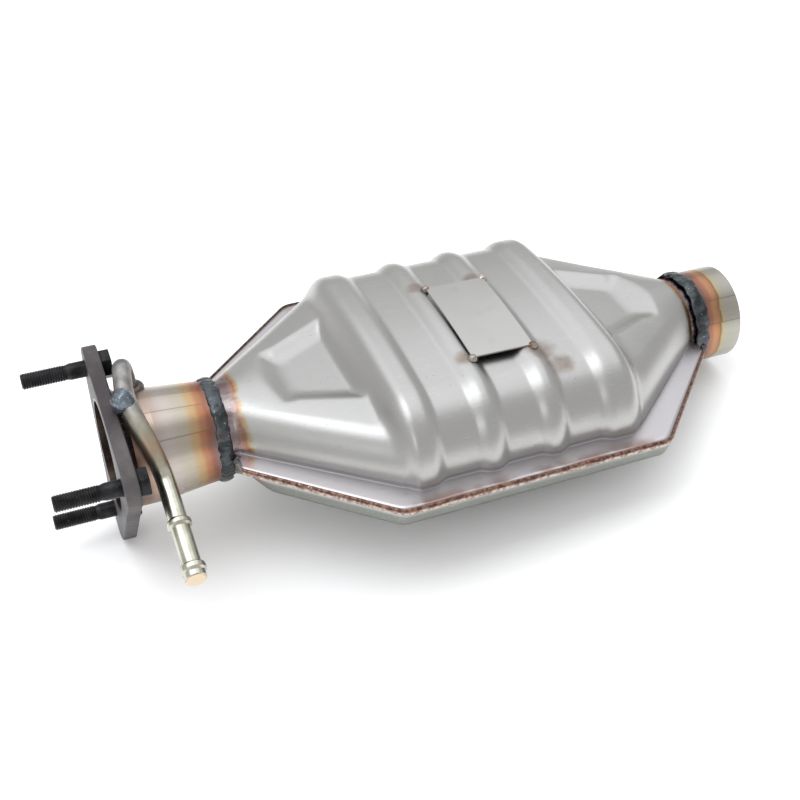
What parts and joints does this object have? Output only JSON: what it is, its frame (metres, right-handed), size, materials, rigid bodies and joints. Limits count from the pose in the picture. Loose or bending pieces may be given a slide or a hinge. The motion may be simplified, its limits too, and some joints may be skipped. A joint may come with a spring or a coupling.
{
  "type": "catalytic converter",
  "caption": "Clamshell catalytic converter with a ribbed flat body, flanged inlet, plain outlet pipe and a gas sampling tube.",
  "frame": {"origin": "centre of the inlet port on the flange's sealing face", "axes": "+X along the gas path from inlet to outlet, +Z square to the seam plane, up through the half shell that carries the data plate"},
  "size_m": [0.375, 0.1838, 0.1035],
  "materials": {
    "shell_steel": "satin pressed stainless sheet",
    "pipe_steel": "drawn tube with heat tint beside the welds",
    "ring_bead": "dark blue grey weld metal",
    "seam_bead": "copper tinted weld metal",
    "tack_bead": "small brown grey weld spots",
    "flange_plate": "dull brown grey plate",
    "black_bolt": "blackened steel",
    "zinc_tube": "glossy yellow zinc plating",
    "plug": "dull",
    "ceramic": "dull coated ceramic",
    "mat_fibre": "pressed fibre",
    "seal_mesh": "knitted wire",
    "plate_steel": "bright sheet"
  },
  "bodies": {
    "root": {"upper_half_shell": "shell_steel", "lower_half_shell": "shell_steel", "seam_weld_near": "seam_bead", "seam_weld_far": "seam_bead", "inlet_pipe": "pipe_steel", "outlet_pipe": "pipe_steel", "inlet_pipe_weld": "ring_bead", "outlet_pipe_weld": "ring_bead", "inlet_flange": "flange_plate", "flange_pipe_weld": "ring_bead", "flange_bolts": "black_bolt", "sampling_tube": "zinc_tube", "tube_end_plug": "plug", "sampling_tube_weld": "ring_bead", "tube_tack_weld": "ring_bead", "ceramic_brick": "ceramic", "support_mat": "mat_fibre", "inlet_end_seal": "seal_mesh", "outlet_end_seal": "seal_mesh", "data_plate": "plate_steel", "plate_tack_welds": "tack_bead"}
  },
  "joints": []
}
